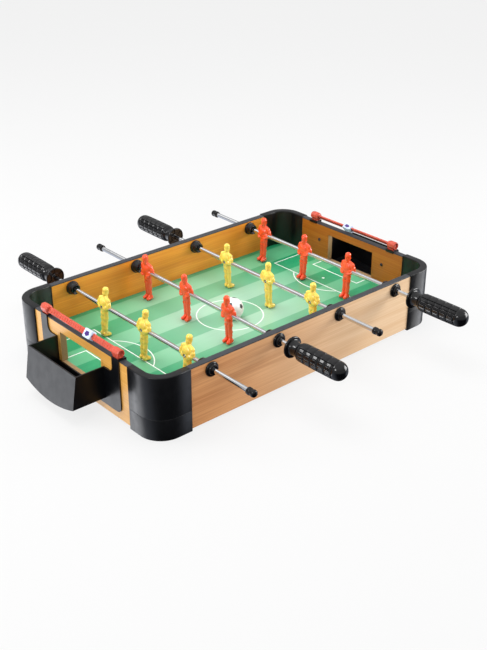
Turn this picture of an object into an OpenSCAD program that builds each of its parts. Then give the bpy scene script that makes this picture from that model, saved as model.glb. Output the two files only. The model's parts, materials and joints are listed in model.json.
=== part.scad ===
// Tabletop foosball: a wooden tray with plastic corners and a printed playing field,
// four rods of three players that slide and spin, a ball box and a score rail at each
// end, and a loose ball.
// Frame: X along the table, Y across it and Z up. The origin is the middle of the plane
// that the four corner feet stand on. Rods are numbered 1 to 4 along +X.

/* [Table] */
// Length over the corner posts
table_len = 510; // [490:1:530]
// Width over the corner posts
table_wid = 320.5; // [316:0.5:330]
// Height of the corner posts
table_h = 88; // [88:1:96]
// Outside radius of the corner posts
corner_r = 33; // [20:1:45]
// Length of a corner post's leg along each side
leg_len = 55; // [50:1:60]
// Thickness of a corner post's wall
post_t = 10.5; // [10:0.5:12]
// Thickness of the wooden panels
panel_t = 9; // [8:0.5:9.5]
// Height of the seam between a corner foot and its post
seam_z = 29.5; // [28:0.5:30]

/* [Playing field] */
// Height of the playing surface
field_z = 30.5; // [29:0.5:31]
// Thickness of the field board
field_t = 3; // [2:0.5:3]
// Diameter of the ball
ball_d = 32; // [28:1:33]
// Where the ball rests along the table and across it
ball_at = [-4, -8]; // [-12:1:12]

/* [Rods] */
// Outside diameter of the rod tubes
rod_d = 6.4; // [6:0.1:6.8]
// Wall thickness of the rod tubes
rod_wall = 0.8; // [0.6:0.1:1.2]
// Distance from one rod to the next
rod_gap = 111.7; // [106:0.1:114]
// Height of the rod axes
rod_z = 75; // [74.5:0.5:75.5]
// Distance from one player to the next
player_gap = 90.5; // [84:0.5:91]
// How far each rod's middle player rests from the table's middle, rods 1 to 4
rod_rest = [-21.5, 31, -16.5, 23]; // [-32:0.5:32]
// How far each rod rests turned about its axis, rods 1 to 4
rod_turn = [4, -2, -3.5, 3.5]; // [-5:0.5:5]
// Distance from the middle player to the handle
handle_from_middle = 213.5; // [205:0.5:220]
// Distance from the middle player to the tip of the end cap
cap_from_middle = 217; // [210:0.5:225]

/* [Handles] */
// Length of a handle
handle_len = 93.5; // [88:0.5:98]
// Largest diameter of the grip
grip_d = 26; // [24:0.2:27]
// Diameter of the finger flange
flange_d = 29.5; // [28:0.5:32]

/* [Goals] */
// Width of the goal opening
goal_wid = 93; // [80:1:100]
// Height of the top of the goal opening
goal_top = 74; // [70:1:76]
// Width of the ball box outside
box_wid = 110; // [108:1:116]
// How far the ball box stands out at its rim
box_rim = 40.8; // [36:0.2:44]
// How far the ball box stands out at its foot
box_foot = 50; // [46:0.5:54]

/* [Score rails] */
// Width of the rail's flat bar
bar_wid = 8.2; // [7:0.2:8.6]
// Length of the rail over its lugs
rail_len = 175; // [170:1:180]
// Length of the sliding marker
marker_len = 16; // [10:1:18]
// Where the left and right markers rest across the table
marker_rest = [-19.5, 9.5]; // [-50:0.5:50]

/* [Hidden] */
$fn = 48;
half_len = table_len / 2;
half_wid = table_wid / 2;

// Panels: the posts stand proud of them outside, and a tongue at each end enters a post.
proud = 2;
panel_z0 = 2.5;
panel_x = half_len - proud;
panel_y = half_wid - proud;
inner_x = panel_x - panel_t;
inner_y = panel_y - panel_t;
side_span = table_len - 2 * leg_len;
end_span = table_wid - 2 * leg_len;
tongue_t = 5;
tongue_len = 10;

// Top trim: a T moulding whose stem enters a groove in the panel's top edge.
trim_t = 1.6;
trim_top = table_h - 0.7;
trim_z = trim_top - trim_t;
stem_t = 2;
stem_h = 4;

// Field board: its edges enter grooves in the panels, and its corners rest on the feet.
board_z = field_z - field_t;
groove = 3;
shelf_t = 3;
field_screw_r = 1.5;
field_screw_in = 18;

// Bushings: a housing through each panel, a bumper screwed on inside it, and a sleeve
// that turns in the housing while the rod slides through it.
play = 0.05;
barrel_r = 6;
housing_flange_r = 10;
housing_flange_t = 3;
housing_hub_r = 6.6;
housing_hub_t = 2;
sleeve_r = 4.6;
sleeve_collar_r = 5.6;
sleeve_collar_t = 1.2;
bumper_reach = 11;
bumper_base_r = 9.9;
bumper_base_t = 3;
bumper_r = [8.6, 7.6];
barrel_in = 4.65;
end_gap = 0.3;

// Rods
rod_r = rod_d / 2;
cap_len = 13;
cap_r = 5;
tube_in_handle = 70;
screw_r = 1.2;
screw_head_r = 2.6;
screw_head_t = 1.6;

// Players, measured from the rod axis
player_neck_z = 21;
player_head_z = [19.5, 23.6];
player_head_x = 2;
player_head_r = 4.8;
player_sole = 43.3;
toe = 8.8;
screw_seat = 3.9;
screw_reach = 4.6;

// Goals
box_wall = 2;
box_top = 66.5;
box_side_z = 22;
box_mid_z = 13;
strap_in = 73.5;
strap_out = 88;
strap_r = 9;
window_r = 8;
hook_t = 2;
boss_r = 3;
boss_len = 6;
boss_at = [66, 60.5];

// Score rails
rail_x = half_len - 5.5;
rail_z = trim_top + 8.4;
bar_t = 2.6;
bar_edge = 0.8;
bar_tilt = 52;
lug_len = 15;
lug_r = 6;
lug_flare = 3;
peg_r = 2;
marker_w = 12;

ROD_COUNT = 4;
SPOTS = ["back", "middle", "front"];
CORNERS = ["front_left", "front_right", "back_left", "back_right"];
SIDES = ["front", "back"];
ENDS = ["left", "right"];
RODS = [for (r = [1:ROD_COUNT]) r];

function rod_x(r) = (r - (ROD_COUNT + 1) / 2) * rod_gap;
// Rods 1 and 3 have their handles at the back, and rods 2 and 4 at the front.
function handle_side(r) = r % 2 == 1 ? 1 : -1;
// A player's place along rod r, towards its handle.
function spot_y(r, s) = handle_side(r) * player_gap * (s == "back" ? 1 : s == "middle" ? 0 : -1);

// ---- Placing ----

// Runs a shape along +Y, the way the rods lie.
module along_y() rotate([-90, 0, 0]) children();

// The frame of rod r: its axis is Y, its middle player is at the origin, and its
// handle is towards +Y and its players' toes towards +X before the rod is turned.
module on_rod(r)
    translate([rod_x(r), rod_rest[r - 1], rod_z]) rotate([0, rod_turn[r - 1], 0])
        rotate([0, 0, handle_side(r) > 0 ? 0 : 180]) children();

// Puts a shape made for the +Y wall on every rod's hole in both side walls.
module at_bushings(r)
    for (side = [0, 180])
        translate([rod_x(r), 0, rod_z]) rotate([0, 0, side]) children();

module at_side(s) mirror([0, s == "front" ? 1 : 0, 0]) children();
module at_end(e) rotate([0, 0, e == "left" ? 180 : 0]) children();
module at_corner(c)
    mirror([c == "front_left" || c == "back_left" ? 1 : 0, 0, 0])
        mirror([0, c == "front_left" || c == "front_right" ? 1 : 0, 0]) children();

// A block given by its lowest and highest corners.
module block(lo, hi) translate(lo) cube(hi - lo);

// A cylinder along Y between two places on the axis.
module rod_shape(y0, y1, r) translate([0, y0, 0]) along_y() cylinder(h = y1 - y0, r = r);

// ---- Walls ----

// The table's plan, drawn inset from the outside of the posts.
module plan(inset) {
    x = half_len - inset;
    y = half_wid - inset;
    square([2 * (half_len - corner_r), 2 * y], center = true);
    square([2 * x, 2 * (half_wid - corner_r)], center = true);
    for (sx = [-1, 1], sy = [-1, 1])
        translate([sx * (half_len - corner_r), sy * (half_wid - corner_r)])
            circle(r = corner_r - inset);
}

// A wall panel that stands with its outer face at x = out, and runs span along Y.
module wall(out, span) {
    inside = out - panel_t;
    mid = out - panel_t / 2;
    difference() {
        union() {
            block([inside, -span / 2, panel_z0], [out, span / 2, trim_z]);
            block([mid - tongue_t / 2, -span / 2 - tongue_len, panel_z0],
                  [mid + tongue_t / 2, span / 2 + tongue_len, trim_z]);
        }
        block([mid - stem_t / 2, -span, trim_z - stem_h], [mid + stem_t / 2, span, trim_z + 1]);
        block([inside - 1, -span, board_z], [inside + groove, span, field_z]);
    }
}

module side_panel(s) color("burlywood") at_side(s) difference() {
    rotate([0, 0, 90]) wall(panel_y, side_span);
    for (r = RODS)
        translate([rod_x(r), 0, rod_z]) rod_shape(inner_y - 1, panel_y + 1, barrel_r);
}

module end_panel(e) color("burlywood") at_end(e) difference() {
    wall(panel_x, end_span);
    block([inner_x - 1, -goal_wid / 2, field_z], [panel_x + 1, goal_wid / 2, goal_top]);
    for (y = [-boss_at[0], boss_at[0]]) translate([0, y, boss_at[1]]) rotate([0, 90, 0]) {
        translate([0, 0, inner_x - 1]) cylinder(h = panel_t + 2, r = screw_r);
        translate([0, 0, panel_x - boss_len]) cylinder(h = boss_len + 1, r = boss_r);
    }
}

// The T moulding on a panel's top edge, for the same place as wall().
module trim(out, span) {
    mid = out - panel_t / 2;
    block([out - panel_t, -span / 2, trim_z], [out, span / 2, trim_top]);
    block([mid - stem_t / 2, -span / 2, trim_z - stem_h], [mid + stem_t / 2, span / 2, trim_z]);
}

module side_trim(s) color("dimgray") at_side(s) rotate([0, 0, 90]) trim(panel_y, side_span);
module end_trim(e) color("dimgray") at_end(e) trim(panel_x, end_span);

// One corner's L-shaped wall between two heights, with slots for the panels' tongues.
module corner_wall(z0, z1) {
    mid_x = panel_x - panel_t / 2;
    mid_y = panel_y - panel_t / 2;
    from_x = half_len - leg_len;
    from_y = half_wid - leg_len;
    difference() {
        translate([0, 0, z0]) linear_extrude(z1 - z0) intersection() {
            difference() {
                plan(0);
                plan(post_t);
            }
            translate([from_x, from_y]) square(leg_len);
        }
        block([from_x - 1, mid_y - tongue_t / 2, panel_z0],
              [from_x + tongue_len, mid_y + tongue_t / 2, trim_z]);
        block([mid_x - tongue_t / 2, from_y - 1, panel_z0],
              [mid_x + tongue_t / 2, from_y + tongue_len, trim_z]);
    }
}

module corner_post(c) color("dimgray") at_corner(c) corner_wall(seam_z, table_h);

module at_field_screw()
    translate([half_len - post_t - field_screw_in, half_wid - post_t - field_screw_in, 0])
        children();

module corner_foot(c) color("dimgray") at_corner(c) {
    corner_wall(0, seam_z);
    difference() {
        translate([0, 0, board_z - shelf_t]) linear_extrude(shelf_t) intersection() {
            plan(post_t);
            translate([half_len - leg_len, half_wid - leg_len]) square(leg_len);
        }
        at_field_screw() cylinder(h = board_z + 1, r = field_screw_r);
    }
}

module playing_field() color("mediumseagreen") difference() {
    translate([0, 0, board_z]) linear_extrude(field_t) {
        plan(post_t);
        square([side_span - 1, 2 * (inner_y + groove)], center = true);
        square([2 * (inner_x + groove), end_span - 1], center = true);
    }
    for (c = CORNERS) at_corner(c) at_field_screw()
        translate([0, 0, board_z - 1]) cylinder(h = field_t, r = field_screw_r);
}

module field_screws() color("silver") for (c = CORNERS) at_corner(c) at_field_screw() {
    translate([0, 0, board_z - shelf_t]) cylinder(h = field_t + shelf_t - 1, r = field_screw_r);
    translate([0, 0, board_z - shelf_t - screw_head_t])
        cylinder(h = screw_head_t, r = field_screw_r + 1.5);
}

// ---- Bushings ----

module bushing_housings() color("black") for (r = RODS) at_bushings(r) difference() {
    union() {
        rod_shape(panel_y, panel_y + housing_flange_t, housing_flange_r);
        rod_shape(panel_y, panel_y + housing_flange_t + housing_hub_t, housing_hub_r);
        rod_shape(inner_y - barrel_in, panel_y, barrel_r);
    }
    rod_shape(inner_y - barrel_in - 1, panel_y + 2 * housing_flange_t, sleeve_r + play);
}

module bushing_bumpers() color("black") for (r = RODS) at_bushings(r) difference() {
    union() {
        rod_shape(inner_y - bumper_base_t, inner_y, bumper_base_r);
        translate([0, inner_y - bumper_reach, 0]) along_y()
            cylinder(h = bumper_reach, r1 = bumper_r[1], r2 = bumper_r[0]);
    }
    rod_shape(inner_y - barrel_in - end_gap, inner_y + 1, barrel_r);
    rod_shape(inner_y - bumper_reach - 1, inner_y, rod_r + 8 * play);
}

module bearing_sleeves(r) color("black") at_bushings(r) {
    collar_y = panel_y + housing_flange_t + housing_hub_t + end_gap;
    difference() {
        union() {
            rod_shape(inner_y - barrel_in, collar_y + sleeve_collar_t, sleeve_r);
            rod_shape(collar_y, collar_y + sleeve_collar_t, sleeve_collar_r);
        }
        rod_shape(inner_y - bumper_reach, collar_y + bumper_reach, rod_r + play);
    }
}

// ---- Rods ----

module rod(r) color("silver") on_rod(r) difference() {
    rod_shape(2 - cap_from_middle, handle_from_middle + tube_in_handle, rod_r);
    rod_shape(-cap_from_middle, handle_from_middle + handle_len, rod_r - rod_wall);
    for (s = SPOTS) translate([0, spot_y(r, s), 0]) rotate([0, 90, 0])
        cylinder(h = 4 * rod_r, r = screw_r, center = true);
}

// A handle from its flange to its rounded end, turned about the rod.
module handle(r) color("black") on_rod(r) translate([0, handle_from_middle, 0]) difference() {
    flange_r = flange_d / 2;
    grip_r = grip_d / 2;
    dome_r = grip_r - 0.4;
    along_y() rotate_extrude($fn = 64) difference() {
        union() {
            polygon([
                [0, 0], [flange_r - 0.8, 0], [flange_r, 0.8], [flange_r, 2.2], [flange_r - 0.9, 3.1],
                [10.6, 3.9], [9.7, 7], [9.4, 15], [11, 17.5], [12.2, 20], [grip_r, 36],
                [grip_r, 66], [dome_r, handle_len - dome_r], [0, handle_len - dome_r]]);
            translate([0, handle_len - dome_r]) circle(r = dome_r);
        }
        translate([-grip_r, -1]) square([grip_r, handle_len + 2]);
        square([rod_r, tube_in_handle]);
    }
}

module end_cap(r) color("black") on_rod(r) translate([0, -cap_from_middle, 0]) difference() {
    union() {
        rod_shape(1.5, cap_len, cap_r);
        along_y() cylinder(h = 1.5, r1 = cap_r - 1.5, r2 = cap_r);
    }
    rod_shape(2, cap_len + 1, rod_r);
}

// ---- Players ----

// Half of a player seen from the front: across, and up from the rod axis.
module player_front_half() polygon([
    [0, player_neck_z], [2.9, player_neck_z - 3], [3.1, 15], [7, 13.6], [11.8, 10.6],
    [14.4, 6], [15, 2], [14.4, -2.5], [10.4, -6], [8, -9], [7.4, -14], [5.8, -33],
    [7.2, -36], [7.2, -player_sole], [0, -player_sole]]);

// A player seen from the side, toes towards +X.
module player_side() polygon([
    [-1.6, player_neck_z], [-2.6, 15], [-5.4, 11], [-6, 5], [-5.6, -4], [-5.4, -9], [-4, -20],
    [-3.2, -33], [-4.2, -36], [-4.2, -player_sole], [toe - 1.5, -player_sole],
    [toe, -player_sole + 1.5], [toe, -39], [4.4, -34.5], [4.6, -20], [5.2, -9], [5.8, -4],
    [6.6, 5], [6, 11], [4.6, 15], [4.8, player_neck_z]]);

module player(r, s) color(r % 2 == 1 ? "gold" : "orangered")
    on_rod(r) translate([0, spot_y(r, s), 0]) difference() {
        union() {
            translate([player_head_x, 0, player_head_z[0]]) {
                sphere(r = player_head_r);
                cylinder(h = player_head_z[1] - player_head_z[0], r = player_head_r);
            }
            translate([player_head_x, 0, player_head_z[1]]) sphere(r = player_head_r);
            intersection() {
                rotate([90, 0, 90]) linear_extrude(4 * toe, center = true) {
                    player_front_half();
                    mirror([1, 0, 0]) player_front_half();
                }
                rotate([90, 0, 0]) linear_extrude(player_gap, center = true) player_side();
            }
        }
        rod_shape(-player_gap, player_gap, rod_r);
        rotate([0, -90, 0]) {
            translate([0, 0, -screw_reach]) cylinder(h = 2 * screw_reach, r = screw_r);
            translate([0, 0, screw_seat]) cylinder(h = toe, r = screw_head_r + 0.3);
        }
    }

// A screw through each player's back and the tube.
module player_screws(r) color("silver") on_rod(r) for (s = SPOTS)
    translate([0, spot_y(r, s), 0]) rotate([0, -90, 0]) {
        translate([0, 0, -screw_reach]) cylinder(h = screw_reach + screw_seat, r = screw_r);
        translate([0, 0, screw_seat]) cylinder(h = screw_head_t, r = screw_head_r);
    }

// ---- Goals ----

// A box section in plan view of the end wall (Y, Z) whose underside is one shallow arc.
module box_front(inset) {
    y = box_wid / 2 - inset;
    sag = box_side_z - box_mid_z;
    arc_r = (pow(box_wid / 2, 2) + sag * sag) / (2 * sag);
    intersection() {
        translate([-y, box_mid_z]) square([2 * y, box_top - box_mid_z + 2 * inset]);
        translate([0, box_mid_z + arc_r]) circle(r = arc_r - inset, $fn = 180);
    }
}

// The box seen from its side: upright at the wall and leaning out at its front.
module box_side(inset) polygon([
    [panel_x + inset, box_mid_z], [panel_x + box_foot + 2 - inset, box_mid_z],
    [panel_x + box_rim + 2 - inset, box_top], [panel_x + box_rim + 2 - inset, box_top + 2 * inset],
    [panel_x + inset, box_top + 2 * inset]]);

module box_solid(inset) intersection() {
    rotate([90, 0, 90]) linear_extrude(2 * half_len) box_front(inset);
    rotate([90, 0, 0]) linear_extrude(box_wid + 2, center = true) box_side(inset);
}

// The plate against the wall: two straps joined across the box, round at their ends.
module plate_outline() difference() {
    union() {
        translate([-strap_out, box_mid_z + strap_r])
            square([2 * strap_out, trim_top + hook_t - box_mid_z - strap_r]);
        translate([-strap_out + strap_r, box_mid_z]) square([2 * (strap_out - strap_r), strap_r]);
        for (s = [-1, 1])
            translate([s * (strap_out - strap_r), box_mid_z + strap_r]) circle(r = strap_r);
    }
    translate([-strap_in, box_top + window_r]) square([2 * strap_in, table_h]);
    translate([-strap_in + window_r, box_top]) square([2 * (strap_in - window_r), window_r + 1]);
    for (s = [-1, 1])
        translate([s * (strap_in - window_r), box_top + window_r]) circle(r = window_r);
    translate([-box_wid / 2 + box_wall, field_z]) square([box_wid - 2 * box_wall, table_h]);
}

// A hook at a strap's top, over the trim and down its inner edge.
module hook() {
    block([inner_x - 1.5, strap_in, trim_top], [panel_x + 2, strap_out, trim_top + hook_t]);
    block([inner_x - 1.5, strap_in, trim_z], [inner_x, strap_out, trim_top + 1]);
}

module goal_box(e) color("dimgray") at_end(e) difference() {
    union() {
        translate([panel_x, 0, 0]) rotate([90, 0, 90]) linear_extrude(2) plate_outline();
        difference() {
            box_solid(0);
            box_solid(box_wall);
            block([0, -box_wid, 0], [panel_x + 2, box_wid, table_h]);
        }
        for (s = [0, 1]) mirror([0, s, 0]) {
            hook();
            translate([panel_x - boss_len, boss_at[0], boss_at[1]]) rotate([0, 90, 0])
                cylinder(h = boss_len, r = boss_r);
        }
    }
    for (y = [-boss_at[0], boss_at[0]]) translate([panel_x - boss_len - 1, y, boss_at[1]])
        rotate([0, 90, 0]) cylinder(h = boss_len + 1, r = screw_r);
    for (s = [-1, 1]) translate([rail_x, s * (rail_len - lug_len) / 2, trim_top - 1])
        cylinder(h = hook_t + 2, r = peg_r);
}

module goal_box_screws() color("silver") for (e = ENDS) at_end(e)
    for (y = [-boss_at[0], boss_at[0]]) translate([inner_x, y, boss_at[1]]) rotate([0, 90, 0]) {
        cylinder(h = panel_t - 0.5, r = screw_r);
        translate([0, 0, -screw_head_t]) cylinder(h = screw_head_t, r = screw_head_r);
    }

// ---- Score rails ----

// The bar's section, grown by a gap: flat, with its outer edge tilted down.
module bar_section(gap) rotate(-bar_tilt) {
    x = bar_wid / 2 - bar_edge;
    y = bar_t / 2 - bar_edge;
    r = bar_edge + gap;
    square([2 * x, 2 * (y + r)], center = true);
    square([2 * (x + r), 2 * y], center = true);
    for (sx = [-1, 1], sy = [-1, 1]) translate([sx * x, sy * y]) circle(r = r);
}

module score_rail(e) color("red") at_end(e) {
    seat_z = trim_top + hook_t;
    lug_y = (rail_len - lug_len) / 2;
    bar_half = lug_y - lug_len / 2 + lug_flare;
    translate([rail_x, 0, rail_z]) {
        rotate([90, 0, 0]) linear_extrude(2 * bar_half, center = true) bar_section(0);
        for (side = [0, 180]) rotate([0, 0, side]) translate([0, lug_y - lug_len / 2, 0]) {
            along_y() cylinder(h = lug_flare, r1 = lug_r - 1.5, r2 = lug_r);
            rod_shape(lug_flare, lug_len - 1.5, lug_r);
            translate([0, lug_len - 1.5, 0]) along_y()
                cylinder(h = 1.5, r1 = lug_r, r2 = lug_r - 1.5);
        }
    }
    for (s = [-1, 1]) {
        block([rail_x - 4, s * lug_y - 6, seat_z], [rail_x + 4, s * lug_y + 6, rail_z]);
        translate([rail_x, s * lug_y, trim_top]) cylinder(h = hook_t + 1, r = peg_r);
    }
}

// A marker that rides on the rail's bar.
module score_marker(e) color("white")
    translate([(e == "left" ? -1 : 1) * rail_x, marker_rest[e == "left" ? 0 : 1], rail_z])
        rotate([0, 0, e == "left" ? 180 : 0]) rotate([90, 0, 0])
            linear_extrude(marker_len, center = true) difference() {
                rotate(-bar_tilt) intersection() {
                    square(marker_w, center = true);
                    circle(r = marker_w * 0.6);
                }
                bar_section(play);
            }

module ball() color("white") translate([ball_at[0], ball_at[1], field_z + ball_d / 2])
    sphere(d = ball_d);

for (s = SIDES) {
    side_panel(s);
    side_trim(s);
}
for (e = ENDS) {
    end_panel(e);
    end_trim(e);
    goal_box(e);
    score_rail(e);
    score_marker(e);
}
for (c = CORNERS) {
    corner_post(c);
    corner_foot(c);
}
for (r = RODS) {
    rod(r);
    handle(r);
    end_cap(r);
    bearing_sleeves(r);
    player_screws(r);
    for (s = SPOTS) player(r, s);
}
playing_field();
field_screws();
bushing_housings();
bushing_bumpers();
goal_box_screws();
ball();
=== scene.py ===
"""The looks of the tabletop foosball, built around its CAD frame."""
import json
import math

import bmesh
import bpy
from mathutils import Matrix, Vector


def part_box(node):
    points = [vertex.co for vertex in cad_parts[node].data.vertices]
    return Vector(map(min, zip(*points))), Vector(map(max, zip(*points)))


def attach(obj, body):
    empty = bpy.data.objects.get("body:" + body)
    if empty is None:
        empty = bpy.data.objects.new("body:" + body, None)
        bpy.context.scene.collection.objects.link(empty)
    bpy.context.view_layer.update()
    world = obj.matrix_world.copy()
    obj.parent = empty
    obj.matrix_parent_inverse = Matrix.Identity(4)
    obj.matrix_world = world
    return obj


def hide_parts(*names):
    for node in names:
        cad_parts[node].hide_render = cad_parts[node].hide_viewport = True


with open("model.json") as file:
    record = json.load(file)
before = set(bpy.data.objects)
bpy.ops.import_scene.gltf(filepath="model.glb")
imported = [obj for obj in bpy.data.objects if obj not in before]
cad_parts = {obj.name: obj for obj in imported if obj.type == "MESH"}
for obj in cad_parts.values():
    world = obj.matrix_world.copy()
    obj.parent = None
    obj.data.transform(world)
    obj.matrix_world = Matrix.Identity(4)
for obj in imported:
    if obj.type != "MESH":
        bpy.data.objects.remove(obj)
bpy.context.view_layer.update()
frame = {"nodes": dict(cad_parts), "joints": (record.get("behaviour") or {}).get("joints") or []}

MM = 0.001
TAU = 2 * math.pi
Y_AXIS = Vector((0, 1, 0))

RODS = (1, 2, 3, 4)
SPOTS = ("back", "middle", "front")
SIDES = {"front": -1, "back": 1}
ENDS = {"left": -1, "right": 1}
CORNERS = {f"{s}_{e}": (ex, sy) for s, sy in SIDES.items() for e, ex in ENDS.items()}


# ---- Sizes that the CAD frame gives, in metres ----

def size(node, axis):
    """How long a node is along "x", "y" or "z"."""
    low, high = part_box(node)
    return high["xyz".index(axis)] - low["xyz".index(axis)]


def middle(node):
    low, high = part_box(node)
    return (low + high) / 2


JOINTS = {joint["name"]: joint for joint in frame["joints"]}
POST_LOW, POST_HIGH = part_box("back_right_post")
HALF_LEN = POST_HIGH.x
HALF_WID = POST_HIGH.y
TABLE_H = POST_HIGH.z
SEAM_Z = POST_LOW.z
LEG = HALF_LEN - POST_LOW.x
TRIM_LOW, TRIM_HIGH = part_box("back_trim")
PANEL_OUT_Y = TRIM_HIGH.y
PANEL_IN_Y = TRIM_LOW.y
PANEL_T = PANEL_OUT_Y - PANEL_IN_Y
PANEL_OUT_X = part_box("right_end_trim")[1].x
PANEL_IN_X = PANEL_OUT_X - PANEL_T
TRIM_TOP = TRIM_HIGH.z
ROD_R = size("rod_1", "x") / 2
HANDLE_LEN = size("handle_1", "y")
FLANGE_R = size("handle_1", "x") / 2
CAP_LEN = size("end_cap_1", "y")
BALL_R = size("ball", "x") / 2


def rod_axis(r):
    """The middle of rod r's bearings: its X and Z, and Y at the middle of the table."""
    return Vector(JOINTS[f"rod_{r}_spin"]["pos_m"])


# From a rod's axis to the middle of the heads of its player screws.
SCREW_HEAD = 4.7 * MM


def rod_frame(r):
    """From a frame with the rod along +Y towards its handle and toes towards +X. How high
    the screws in the players' backs are shows how far the rod rests turned."""
    axis = rod_axis(r)
    toes = -1 if middle(f"handle_{r}").y < 0 else 1
    lift = middle(f"player_screws_{r}").z - axis.z
    lean = Matrix.Rotation(toes * math.asin(lift / SCREW_HEAD), 4, "Y")
    return (Matrix.Translation((axis.x, middle(f"player_{r}_middle").y, axis.z)) @ lean
            @ Matrix.Rotation(0 if toes > 0 else math.pi, 4, "Z"))


# ---- Mesh helpers ----

def piece(name, bm, body, material, nodes=(), sharp=35):
    """Turns a bmesh into a named piece that rides on a body and stands for some nodes."""
    bmesh.ops.recalc_face_normals(bm, faces=bm.faces)
    mesh = bpy.data.meshes.new(name)
    bm.to_mesh(mesh)
    bm.free()
    return mesh_piece(name, mesh, body, material, nodes, sharp)


def mesh_piece(name, mesh, body, material, nodes=(), sharp=35):
    """A mesh as a piece, smooth but for edges sharper than this angle in degrees."""
    for polygon in mesh.polygons:
        polygon.use_smooth = True
    mesh.set_sharp_from_angle(angle=math.radians(sharp))
    obj = bpy.data.objects.new(name, mesh)
    bpy.context.scene.collection.objects.link(obj)
    if not mesh.materials:
        mesh.materials.append(material)
    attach(obj, body)
    if nodes:
        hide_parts(*nodes)
    return obj


def modify(obj, kind, **settings):
    """Adds a modifier of this kind."""
    modifier = obj.modifiers.new(kind.lower(), kind)
    for key, value in settings.items():
        setattr(modifier, key, value)
    return modifier


def baked_mesh(bm, *steps):
    """The mesh that a bmesh becomes after some modifiers, each given as (kind, settings)."""
    mesh = bpy.data.meshes.new("draft")
    bm.to_mesh(mesh)
    bm.free()
    obj = bpy.data.objects.new("draft", mesh)
    bpy.context.scene.collection.objects.link(obj)
    for kind, settings in steps:
        modify(obj, kind, **settings)
    depsgraph = bpy.context.evaluated_depsgraph_get()
    result = bpy.data.meshes.new_from_object(obj.evaluated_get(depsgraph))
    bpy.data.objects.remove(obj)
    bpy.data.meshes.remove(mesh)
    return result


def arc(centre, radius, start, end, steps):
    """Points on an arc in a plane, from one angle to another, in degrees."""
    angles = [math.radians(start + (end - start) * i / steps) for i in range(steps + 1)]
    return [(centre[0] + radius * math.cos(a), centre[1] + radius * math.sin(a)) for a in angles]


def rounded(corners, steps=4):
    """A closed outline from (x, y, radius) corners, with an arc at each one."""
    outline = []
    for i, (x, y, radius) in enumerate(corners):
        here = Vector((x, y))
        before = (Vector(corners[i - 1][:2]) - here).normalized()
        after = (Vector(corners[(i + 1) % len(corners)][:2]) - here).normalized()
        half = before.angle(after) / 2
        reach = radius / math.tan(half)
        centre = here + (before + after).normalized() * (radius / math.sin(half))
        first, last = (here + leg * reach - centre for leg in (before, after))
        start = math.atan2(first.y, first.x)
        swing = (math.atan2(last.y, last.x) - start + math.pi) % TAU - math.pi
        outline += arc(centre, radius, math.degrees(start), math.degrees(start + swing), steps)
    return outline


def skin_rings(bm, rings):
    """Joins rings of equal length into a tube, and caps its two ends."""
    rows = [[bm.verts.new(p) for p in ring] for ring in rings]
    for low, high in zip(rows, rows[1:]):
        for i in range(len(low)):
            j = (i + 1) % len(low)
            bm.faces.new((low[i], low[j], high[j], high[i]))
    bm.faces.new(list(reversed(rows[0])))
    bm.faces.new(rows[-1])


def in_mm(points, start=0.0):
    """A profile from (radius, y) in millimetres, with y measured from a start in metres."""
    return [(radius * MM, start + y * MM) for radius, y in points]


def lathe(bm, profile, place, steps, shape=None):
    """Turns a profile of (radius, y) about Y. A radius of 0 closes the end to a point.
    shape(angle, y, radius) is added to the radius."""
    rows = []
    for radius, y in profile:
        if radius == 0:
            rows.append([bm.verts.new(place @ Vector((0, y, 0)))])
            continue
        row = []
        for i in range(steps):
            a = TAU * i / steps
            r = radius + (shape(a, y, radius) if shape else 0)
            row.append(bm.verts.new(place @ Vector((r * math.sin(a), y, r * math.cos(a)))))
        rows.append(row)
    for low, high in zip(rows, rows[1:]):
        for i in range(steps):
            j = (i + 1) % steps
            corners = [low[i % len(low)], low[j % len(low)]]
            corners += [high[j % len(high)], high[i % len(high)]]
            corners = list(dict.fromkeys(corners))
            if len(corners) > 2:
                bm.faces.new(corners)
    return rows


def ring_lathe(bm, profile, place, steps):
    """Turns a closed profile about Y, for a piece with a hole along its axis."""
    rows = lathe(bm, profile, place, steps)
    for i in range(steps):
        j = (i + 1) % steps
        bm.faces.new((rows[-1][i], rows[-1][j], rows[0][j], rows[0][i]))


def egg(bm, centre, radii, turn=None):
    """An ellipsoid."""
    turn = turn or Matrix.Identity(4)
    place = Matrix.Translation(centre) @ turn @ Matrix.Diagonal((*radii, 1))
    bmesh.ops.create_uvsphere(bm, u_segments=24, v_segments=12, radius=1, matrix=place)


def limb(bm, start, end, r0, r1, steps=16):
    """A tapered rod with round ends."""
    start, end = Vector(start), Vector(end)
    along = end - start
    turn = Y_AXIS.rotation_difference(along.normalized()).to_matrix().to_4x4()
    place = Matrix.Translation(start) @ turn
    bends = (0, 0.4, 0.8, 1.2)
    low = [(r0 * math.sin(a), -r0 * math.cos(a)) for a in (*bends, math.pi / 2)]
    high = [(r1 * math.cos(a), along.length + r1 * math.sin(a)) for a in bends]
    lathe(bm, low + high + [(0, along.length + r1)], place, steps)


def block(bm, low, high, place=None):
    """A box from its lowest to its highest corner, inside a larger shape."""
    low, high = Vector(low), Vector(high)
    fit = Matrix.Translation((low + high) / 2) @ Matrix.Diagonal((*(high - low), 1))
    bmesh.ops.create_cube(bm, size=1, matrix=(place or Matrix.Identity(4)) @ fit)


# ---- Shader helpers ----

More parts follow.
